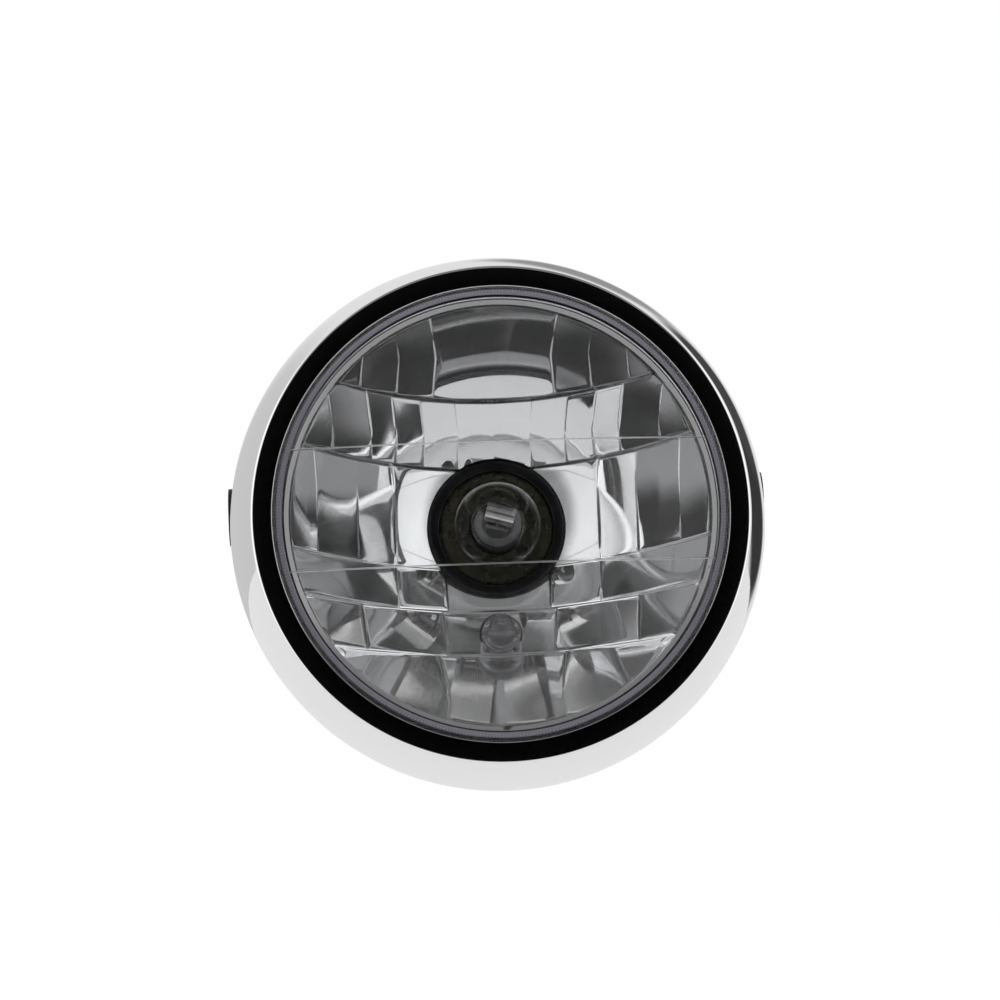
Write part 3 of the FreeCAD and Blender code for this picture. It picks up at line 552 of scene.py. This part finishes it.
COLLAR_R = 22.2
COLLAR_BORE_R = 18.2
COLLAR_FRONT = 17.6
COLLAR_BACK = 27.17
GLOBE_AT = 8.67
GLOBE_R = 14.3
GLOBE_WALL = 0.8
THROAT_R = 8.8
THROAT_BACK = 25.27
FILAMENT_AT = GLOBE_AT - 7.0
FILAMENT_SET_BACK = 3.0
BULB_TURN = math.radians(16)

black_plastic = finish(
    "black_plastic",
    grain=(1500.0, 0.05),
    rubbing=(120.0, 0.14, 0.28),
    tones=((0.010, 0.010, 0.011), (0.020, 0.020, 0.021)),
)
collar = bmesh.new()
turn(collar, soften([
    (COLLAR_BORE_R, COLLAR_FRONT, 0.6),
    (COLLAR_R, COLLAR_FRONT, 1.2),
    (COLLAR_R, NECK_BACK, 0.2),
    (NECK_R, NECK_BACK, 0.4),
    (NECK_R, COLLAR_BACK, 0.4),
    (COLLAR_BORE_R, COLLAR_BACK, 0.4),
]))
new_piece("bulb_collar_ring", collar, black_plastic, ["bulb_collar"])
dress(black_plastic, "bulb_socket")

# The cap, its contacts and the socket's contact leaves are painted far darker than brass, as painted shade
# for the dim inside of the lamp.
cap_brass = finish(
    "cap_brass",
    grain=(1800.0, 0.15),
    rubbing=(160.0, 0.18, 0.42),
    tones=((0.13, 0.12, 0.08), (0.07, 0.068, 0.05)),
    Metallic=1.0,
)
dress(cap_brass, "main_bulb_cap", "main_bulb_contacts", "socket_contact_leaves")
cap_insulator = finish(
    "cap_insulator",
    grain=(700.0, 0.1),
    rubbing=(100.0, 0.1, 0.25),
    tones=((0.03, 0.03, 0.035), (0.06, 0.06, 0.065)),
)
dress(cap_insulator, "main_bulb_insulator")
lead_wire = finish(
    "lead_wire",
    grain=(2500.0, 0.1),
    rubbing=(300.0, 0.2, 0.4),
    tones=((0.42, 0.42, 0.43), (0.52, 0.51, 0.50)),
    Metallic=1.0,
)


def drawing(node):
    """One of the frame's solids as a drawing in millimetres by station."""
    mesh = bmesh.new()
    mesh.from_mesh(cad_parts[node].data)
    for vert in mesh.verts:
        vert.co = Vector((vert.co.x / MM, (vert.co.y - rim_back) / MM, vert.co.z / MM))
    return mesh


seat_bulb = Matrix.Translation((0, FILAMENT_SET_BACK, 0)) @ Matrix.Rotation(BULB_TURN, 4, "Y")
posts = drawing("main_bulb_supports")
bmesh.ops.transform(posts, matrix=seat_bulb, verts=posts.verts)
new_piece("filament_posts", posts, lead_wire, ["main_bulb_supports"])
shield_steel = finish(
    "shield_steel",
    grain=(2500.0, 0.1),
    rubbing=(300.0, 0.16, 0.28),
    tones=((0.80, 0.79, 0.77), (0.70, 0.69, 0.68)),
    Metallic=1.0,
)
shield = drawing("main_bulb_shield")
bmesh.ops.transform(shield, matrix=seat_bulb, verts=shield.verts)
new_piece("filament_shield", shield, shield_steel, ["main_bulb_shield"])


def globe(depth):
    """Outline of the round glass, at a depth in its wall, from its front pole to the end of its neck."""
    radius, throat_r = GLOBE_R - depth, THROAT_R - depth
    last = math.pi - math.asin(throat_r / radius)
    return ball_front(radius, GLOBE_AT, last, 40) + [(throat_r, THROAT_BACK)]


bulb = bmesh.new()
turn(bulb, globe(0.0) + globe(GLOBE_WALL)[::-1], 128, closed=False)
new_piece("main_bulb_globe", bulb, bulb_glass, ["main_bulb_glass"])
stem_glass = finish(
    "stem_glass",
    grain=(700.0, 0.1),
    rubbing=(100.0, 0.08, 0.2),
    tones=((0.018, 0.017, 0.016), (0.036, 0.034, 0.031)),
)
dress(stem_glass, "main_bulb_stem")


def coil(name, height, node):
    """Filament wound as a fine spiral between its two lead wires."""
    wire = bmesh.new()
    turns, turn_steps, around = 9, 20, 8
    wire_r, wind_r, length = 0.14, 0.5, 5.5
    steps = turns * turn_steps
    loops = []
    for k in range(steps + 1):
        along = -length / 2 + length * k / steps
        angle = math.tau * turns * k / steps
        spoke = Vector((0, math.cos(angle), math.sin(angle)))
        loop = []
        for m in range(around):
            bead = math.tau * m / around
            offset = spoke * (wind_r + wire_r * math.cos(bead)) + Vector((wire_r * math.sin(bead), 0, 0))
            loop.append(wire.verts.new(Vector((along, FILAMENT_AT, height)) + offset))
        loops.append(loop)
    for first, second in zip(loops, loops[1:]):
        for m in range(around):
            n = (m + 1) % around
            wire.faces.new((first[m], first[n], second[n], second[m]))
    bmesh.ops.holes_fill(wire, edges=[edge for edge in wire.edges if edge.is_boundary], sides=around)
    bmesh.ops.transform(wire, matrix=seat_bulb, verts=wire.verts)
    new_piece(name, wire, filament_metal, [node])


coil("low_beam_coil", height=3.0, node="low_beam_filament")
coil("high_beam_coil", height=-1.4, node="high_beam_filament")


# Lens: a clear pressed dome with two fine raised lines, a flange held by the rim and a skirt set in
# sealant. Its front-facing edge band is frosted and coloured with painted light: the purple-grey of the
# lit sealant behind it, and a dotted ring of painted glints where the skirt's knurling is.

lens_glass = bulb_glass.copy()
lens_glass.name = "lens_glass"
shader = lens_glass.node_tree.nodes["Principled BSDF"]
shader.inputs["IOR"].default_value = 1.5
shader.inputs["Base Color"].default_value = (0.985, 0.99, 0.992, 1)
for node in lens_glass.node_tree.nodes:
    if node.type == "GROUP":
        node.inputs["Scale"].default_value = 40.0
        node.inputs["Height"].default_value = 0.015

DOME_POLE = -41.1
DOME_RISE = 8.5
SKIRT_R = 70.1
SKIRT_IN_R = 67.1
SKIRT_BACK = -23.7
DOME_R = (SKIRT_R**2 + DOME_RISE**2) / (2 * DOME_RISE)
DOME_WALL = 3.0
CROWN_R = 69.0
LENS_FLANGE_FRONT = -29.3
LINE_HEIGHTS = (21.3, -16.4)
LINE_HALF = 0.25
LINE_RAISED = 0.3
LINE_SUNK = 0.15
LINE_END_R = 67.6
FROST_AND_PAINT_IN_R = 67.6
FROST_AND_PAINT_OUT_R = 69.6
FROST_AND_PAINT_FACING = -0.7
KNURL_TEETH = 420.0
KNURL_R = 69.1
KNURL_HALF = 0.28


def dome(r, depth=0.0):
    """Station of the lens's dome at a radius, at a depth below its outer face."""
    return DOME_POLE + depth + DOME_R - math.sqrt(DOME_R**2 - r**2)


def dome_line(radius, count, depth=0.0):
    """Points of the dome from its pole to a radius."""
    return [(radius * k / count, dome(radius * k / count, depth)) for k in range(count + 1)]


outer_dome = dome_line(CROWN_R, 60)
inner_dome = dome_line(SKIRT_IN_R, 48, DOME_WALL)[::-1]
lens_edge = soften([
    (CROWN_R, dome(CROWN_R), 0),
    (SKIRT_R, dome(SKIRT_R), 1.0),
    (SKIRT_R, LENS_FLANGE_FRONT, 0.3),
    (FLANGE_R, LENS_FLANGE_FRONT, 0.3),
    (FLANGE_R, FLANGE_FRONT, 0.3),
    (SKIRT_R, FLANGE_FRONT, 0.2),
    (SKIRT_R, SKIRT_BACK, 0.3),
    (SKIRT_IN_R, SKIRT_BACK, 0.3),
    (SKIRT_IN_R, dome(SKIRT_IN_R, DOME_WALL), 0),
])
# Edge band: frosted glass whose colour is painted light, the lit sealant's purple-grey seen through it,
# with brighter dots painted as the knurling's glints.
frost_and_painted_edge = bpy.data.materials.new("lens_edge_frost_painted_light")
frost_and_painted_edge.use_nodes = True
nodes = frost_and_painted_edge.node_tree.nodes
links = frost_and_painted_edge.node_tree.links
shader = nodes["Principled BSDF"]
shader.inputs["Roughness"].default_value = 0.28
shader.inputs["IOR"].default_value = 1.5
shader.inputs["Transmission Weight"].default_value = 0.45
place = nodes.new("ShaderNodeTexCoord")
axes = nodes.new("ShaderNodeSeparateXYZ")
around = nodes.new("ShaderNodeMath")
around.operation = "ARCTAN2"
teeth = nodes.new("ShaderNodeMath")
teeth.operation = "MULTIPLY"
teeth.inputs[1].default_value = KNURL_TEETH
knurl = nodes.new("ShaderNodeMath")
knurl.operation = "SINE"
flat = nodes.new("ShaderNodeCombineXYZ")
radius = nodes.new("ShaderNodeVectorMath")
radius.operation = "LENGTH"
track = nodes.new("ShaderNodeMath")
track.operation = "COMPARE"
track.inputs[1].default_value = KNURL_R * MM
track.inputs[2].default_value = KNURL_HALF * MM
painted_knurl_glints = nodes.new("ShaderNodeMath")
painted_knurl_glints.operation = "MULTIPLY"
painted_knurl_glints.use_clamp = True
tint = nodes.new("ShaderNodeMix")
tint.data_type = "RGBA"
tint.inputs["A"].default_value = (0.56, 0.54, 0.64, 1)
tint.inputs["B"].default_value = (0.90, 0.89, 0.93, 1)
links.new(place.outputs["Object"], axes.inputs["Vector"])
links.new(axes.outputs["Z"], around.inputs[0])
links.new(axes.outputs["X"], around.inputs[1])
links.new(around.outputs["Value"], teeth.inputs[0])
links.new(teeth.outputs["Value"], knurl.inputs[0])
links.new(axes.outputs["X"], flat.inputs["X"])
links.new(axes.outputs["Z"], flat.inputs["Y"])
links.new(flat.outputs["Vector"], radius.inputs[0])
links.new(radius.outputs["Value"], track.inputs[0])
links.new(track.outputs["Value"], painted_knurl_glints.inputs[0])
links.new(knurl.outputs["Value"], painted_knurl_glints.inputs[1])
links.new(painted_knurl_glints.outputs["Value"], tint.inputs["Factor"])
links.new(tint.outputs["Result"], shader.inputs["Base Color"])

frosted_line = lens_glass.copy()
frosted_line.name = "lens_line_frost"
frosted_line.node_tree.nodes["Principled BSDF"].inputs["Roughness"].default_value = 0.45
lens = bmesh.new()
turn(lens, outer_dome + lens_edge[1:-1] + inner_dome, 256, closed=False)
for height in LINE_HEIGHTS:
    reach = math.sqrt(LINE_END_R**2 - height**2)
    strip = bmesh.ops.create_grid(lens, x_segments=120, y_segments=4, size=0.5)
    for vert in strip["verts"]:
        share = 2 * vert.co.y
        x, z = 2 * reach * vert.co.x, height + LINE_HALF * share
        vert.co = Vector((x, dome(math.hypot(x, z)) - LINE_RAISED * (1 - share**4), z))
    faces = {face for vert in strip["verts"] for face in vert.link_faces}
    sunk = bmesh.ops.extrude_face_region(lens, geom=list(faces), use_keep_orig=True)
    for item in sunk["geom"]:
        if isinstance(item, bmesh.types.BMVert):
            item.co.y = dome(math.hypot(item.co.x, item.co.z)) + LINE_SUNK
    for vert in strip["verts"]:
        for face in vert.link_faces:
            face.material_index = 1
lens_dome = new_piece("lens_dome", lens, lens_glass, ["lens"])
lens_dome.data.materials.append(frosted_line)
lens_dome.data.materials.append(frost_and_painted_edge)
# Front-facing faces of the outer edge band get the frost with its painted light.
for face in lens_dome.data.polygons:
    r = math.hypot(face.center.x, face.center.z) / MM
    if FROST_AND_PAINT_IN_R < r < FROST_AND_PAINT_OUT_R and face.material_index == 0 and face.normal.y < FROST_AND_PAINT_FACING:
        face.material_index = 2

# The sealant's purple-grey is its own colour, made lighter as painted light because the lens glass keeps
# the lamps' direct light from it.
sealant_grey_painted_light = finish(
    "sealant_grey_painted_light",
    grain=(900.0, 0.3),
    rubbing=(240.0, 0.35, 0.6),
    tones=((0.52, 0.50, 0.58), (0.62, 0.60, 0.66)),
)
BEAD_STEPS = 720
TOOTH_R = 68.8
TOOTH_HALF = 0.6
TOOTH_FLOOR = -23.35
bead = bmesh.new()
bead_outline = [
    (GROOVE_IN_R, SKIRT_BACK),
    (TOOTH_R - TOOTH_HALF, SKIRT_BACK), (TOOTH_R, TOOTH_FLOOR), (TOOTH_R + TOOTH_HALF, SKIRT_BACK),
    (GROOVE_OUT_R, SKIRT_BACK),
    (GROOVE_OUT_R, GROOVE_FLOOR), (GROOVE_IN_R, GROOVE_FLOOR),
]
turn(bead, bead_outline, BEAD_STEPS)
for vert in bead.verts:
    r = math.hypot(vert.co.x, vert.co.z)
    step = round(math.atan2(vert.co.z, vert.co.x) / math.tau * BEAD_STEPS)
    if abs(r - TOOTH_R) < TOOTH_HALF / 12 and step % 2:
        vert.co.y = SKIRT_BACK
new_piece("sealant_bead", bead, sealant_grey_painted_light, ["lens_sealant"], sharp_deg=20)


# Rim: a steel pressing with a flat face, a rolled lip round the lens and a flared side, chromed and
# polished. It carries the lens and reflector, hooks over the bucket at the top and is screwed on at
# both sides.

RIM_R = 85.0
RIM_DEPTH = 31.1
RIM_TAPER = 7.7
RIM_BULGE = 0.9
BULGE_OUT = 0.971
BULGE_FORWARD = 0.24
RIM_WALL = 1.02
RIM_FACE = -32.0
LIP_R = 70.5
LIP_OUT_R = 71.5
LIP_BACK = -29.6
SIDE_STEPS = 24
side = []
for k in range(SIDE_STEPS + 1):
    share = k / SIDE_STEPS
    bulge = RIM_BULGE * 4 * share * (1 - share)
    side.append((
        RIM_R - RIM_TAPER * share + BULGE_OUT * bulge,
        -RIM_DEPTH * share - BULGE_FORWARD * bulge,
    ))
inner_side = [(r - RIM_WALL, min(station + 0.05, 0)) for r, station in side]
rim_outline = soften([
    (84.99, 0.0, 0.3),
    *((r, station, 0) for r, station in side[1:-1]),
    (RIM_R - RIM_TAPER, -RIM_DEPTH, 2.6),
    (LIP_R, RIM_FACE, 0.6),
    (LIP_R, LIP_BACK, 0.3),
    (LIP_OUT_R, LIP_BACK, 0.3),
    (LIP_OUT_R, -30.86, 0.2),
    (76.35, -30.2, 1.4),
    *((r, station, 0) for r, station in reversed(inner_side[1:-2])),
    (83.97, 0.0, 0.2),
])
rim = bmesh.new()
turn(rim, rim_outline, 320)
chrome = finish(
    "rim_chrome",
    grain=(55.0, 0.02),
    rubbing=(140.0, 0.02, 0.06),
    tones=((0.91, 0.91, 0.92), (0.87, 0.87, 0.88)),
    Metallic=1.0,
)
new_piece("rim_shell", rim, chrome, ["rim"], sharp_deg=40)


# Side spacers: a thick rubber ring on each side pad, between the bucket and the fork bracket.
# They are black rubber and go on with the side bolts, which squeeze them thinner.

SPACER_END = 85.7
for side_name in ("left", "right"):
    spacer = drawing(f"{side_name}_mount_spacer")
    for vert in spacer.verts:
        vert.co.x = clamp(vert.co.x, SPACER_END)
    new_piece(f"{side_name}_spacer", spacer, black_rubber, [f"{side_name}_mount_spacer"])


# Stage: a plain pale floor well below the lamp and a plain studio, white behind the lamp and dim in
# front. Its soft areas give the mirror light and dark facets, and a black ring card keeps the rim's
# face dark. The camera stands in front, a little to the left of the lamp's axis and below it.

FLOOR_Z = -0.26
FLOOR_FRONT = -0.32
FLOOR_HALF = 6.0
FLOOR_GLOW = 0.6
FLOOR_MIRRORED = 0.5
FLAG_STATION = -35.0
FLAG_IN_R = 70.7
FLAG_OUT_R = 78.8


def stage_sheet(name, mesh, material):
    """Turns a mesh in metres into a sheet that stands by the lamp and is no part of it."""
    data = bpy.data.meshes.new(name)
    mesh.to_mesh(data)
    mesh.free()
    data.materials.append(material)
    sheet = bpy.data.objects.new(name, data)
    bpy.context.collection.objects.link(sheet)
    return sheet


floor_mesh = bmesh.new()
bmesh.ops.create_grid(floor_mesh, x_segments=1, y_segments=1, size=FLOOR_HALF)
for vert in floor_mesh.verts:
    vert.co = Vector((vert.co.x, max(vert.co.y, FLOOR_FRONT), FLOOR_Z))
floor_paper = bpy.data.materials.new("floor_paper")
floor_paper.use_nodes = True
nodes = floor_paper.node_tree.nodes
links = floor_paper.node_tree.links
shader = nodes["Principled BSDF"]
shader.inputs["Base Color"].default_value = (0.82, 0.82, 0.82, 1)
shader.inputs["Roughness"].default_value = 0.9
shader.inputs["Emission Color"].default_value = (1, 1, 1, 1)
light_path = nodes.new("ShaderNodeLightPath")
seen = nodes.new("ShaderNodeMath")
seen.operation = "MAXIMUM"
glow = nodes.new("ShaderNodeMath")
glow.operation = "MULTIPLY"
glow.inputs[1].default_value = FLOOR_GLOW
mirrored = nodes.new("ShaderNodeMath")
mirrored.operation = "MULTIPLY"
mirrored.inputs[1].default_value = FLOOR_MIRRORED
links.new(light_path.outputs["Is Glossy Ray"], mirrored.inputs[0])
links.new(light_path.outputs["Is Camera Ray"], seen.inputs[0])
links.new(mirrored.outputs["Value"], seen.inputs[1])
links.new(seen.outputs["Value"], glow.inputs[0])
links.new(glow.outputs["Value"], shader.inputs["Emission Strength"])
stage_sheet("floor", floor_mesh, floor_paper)

flag_card = bpy.data.materials.new("flag_card")
flag_card.use_nodes = True
shader = flag_card.node_tree.nodes["Principled BSDF"]
shader.inputs["Base Color"].default_value = (0.008, 0.008, 0.008, 1)
shader.inputs["Roughness"].default_value = 1.0
shader.inputs["Specular IOR Level"].default_value = 0.0
flag_mesh = bmesh.new()
turn(flag_mesh, [(FLAG_IN_R, FLAG_STATION), (FLAG_OUT_R, FLAG_STATION)], 128, closed=False)
for vert in flag_mesh.verts:
    vert.co = Vector((vert.co.x * MM, rim_back + vert.co.y * MM, vert.co.z * MM))
flag = stage_sheet("flag", flag_mesh, flag_card)
flag.visible_camera = False

world = bpy.data.worlds.new("studio")
bpy.context.scene.world = world
world.use_nodes = True
nodes = world.node_tree.nodes
links = world.node_tree.links
toward = nodes.new("ShaderNodeTexCoord")


def world_card(direction, edge_deg, soft_deg, under, level):
    """Lays a soft-edged round card of one brightness over the studio, in a direction from the lamp."""
    face = nodes.new("ShaderNodeVectorMath")
    face.operation = "DOT_PRODUCT"
    face.inputs[1].default_value = Vector(direction).normalized()
    links.new(toward.outputs["Generated"], face.inputs[0])
    edge = nodes.new("ShaderNodeMapRange")
    edge.interpolation_type = "SMOOTHSTEP"
    edge.inputs["From Min"].default_value = math.cos(math.radians(edge_deg + soft_deg))
    edge.inputs["From Max"].default_value = math.cos(math.radians(edge_deg))
    links.new(face.outputs["Value"], edge.inputs["Value"])
    card = nodes.new("ShaderNodeMix")
    card.data_type = "FLOAT"
    card.inputs["B"].default_value = level
    links.new(edge.outputs["Result"], card.inputs["Factor"])
    links.new(under, card.inputs["A"])
    return card.outputs["Result"]


SURROUND_LEVEL = 0.78
CARDS = (  # direction from the lamp, edge and soft border in degrees, brightness
    ((0, -1, 0), 84, 12, 1.25),
    ((0, -1, 0), 38, 10, 0.34),
    ((0, -0.6, 0.8), 34, 14, 0.19),
    ((-0.3, -0.95, 0.08), 8, 6, 0.1),
    ((0.02, -1, 0.08), 9, 5, 0.012),
    ((0.45, 0.88, 0.1), 7, 4, 0.04),
    ((0.36, 0.89, 0.27), 5, 4, 0.06),
    ((0.14, 0.92, 0.36), 4, 4, 0.3),
    ((-0.5, 0.86, 0.1), 16, 10, 0.6),
)
surround = nodes.new("ShaderNodeValue")
surround.outputs["Value"].default_value = SURROUND_LEVEL
studio = surround.outputs["Value"]
for direction, edge_deg, soft_deg, level in CARDS:
    studio = world_card(direction, edge_deg, soft_deg, studio, level)
light_path = nodes.new("ShaderNodeLightPath")
backdrop = nodes.new("ShaderNodeMix")
backdrop.data_type = "FLOAT"
backdrop.inputs["B"].default_value = 1.0
links.new(light_path.outputs["Is Camera Ray"], backdrop.inputs["Factor"])
links.new(studio, backdrop.inputs["A"])
links.new(backdrop.outputs["Result"], nodes["Background"].inputs["Color"])

CAMERA_DISTANCE = 1100.0
CAMERA_PITCH = math.radians(-5.8)
CAMERA_YAW = math.radians(2.1)
CAMERA_ROLL = math.radians(2.1)
SENSOR_WIDTH = 36
PICTURE_PIXELS = 1000
PIXELS_PER_MM = 3.24
camera_data = bpy.data.cameras.new("camera")
camera = bpy.data.objects.new("camera", camera_data)
bpy.context.collection.objects.link(camera)
bpy.context.scene.camera = camera
target = Vector((0, rim_back + RIM_FACE * MM, 0))
away = Vector((
    -math.sin(CAMERA_YAW) * math.cos(CAMERA_PITCH),
    -math.cos(CAMERA_YAW) * math.cos(CAMERA_PITCH),
    math.sin(CAMERA_PITCH),
))
camera.location = target + away * CAMERA_DISTANCE * MM
camera.rotation_mode = "QUATERNION"
camera.rotation_quaternion = (-away).to_track_quat("-Z", "Y") @ Quaternion((0, 0, 1), -CAMERA_ROLL)
camera_data.sensor_width = SENSOR_WIDTH
camera_data.lens = PIXELS_PER_MM * CAMERA_DISTANCE * SENSOR_WIDTH / PICTURE_PIXELS
camera_data.shift_x = -0.0015
camera_data.shift_y = 0.0124
camera_data.clip_start = 0.01

bpy.context.scene.cycles.max_bounces = 18
bpy.context.scene.cycles.glossy_bounces = 9
bpy.context.scene.cycles.transmission_bounces = 14
bpy.context.scene.view_settings.view_transform = "Standard"
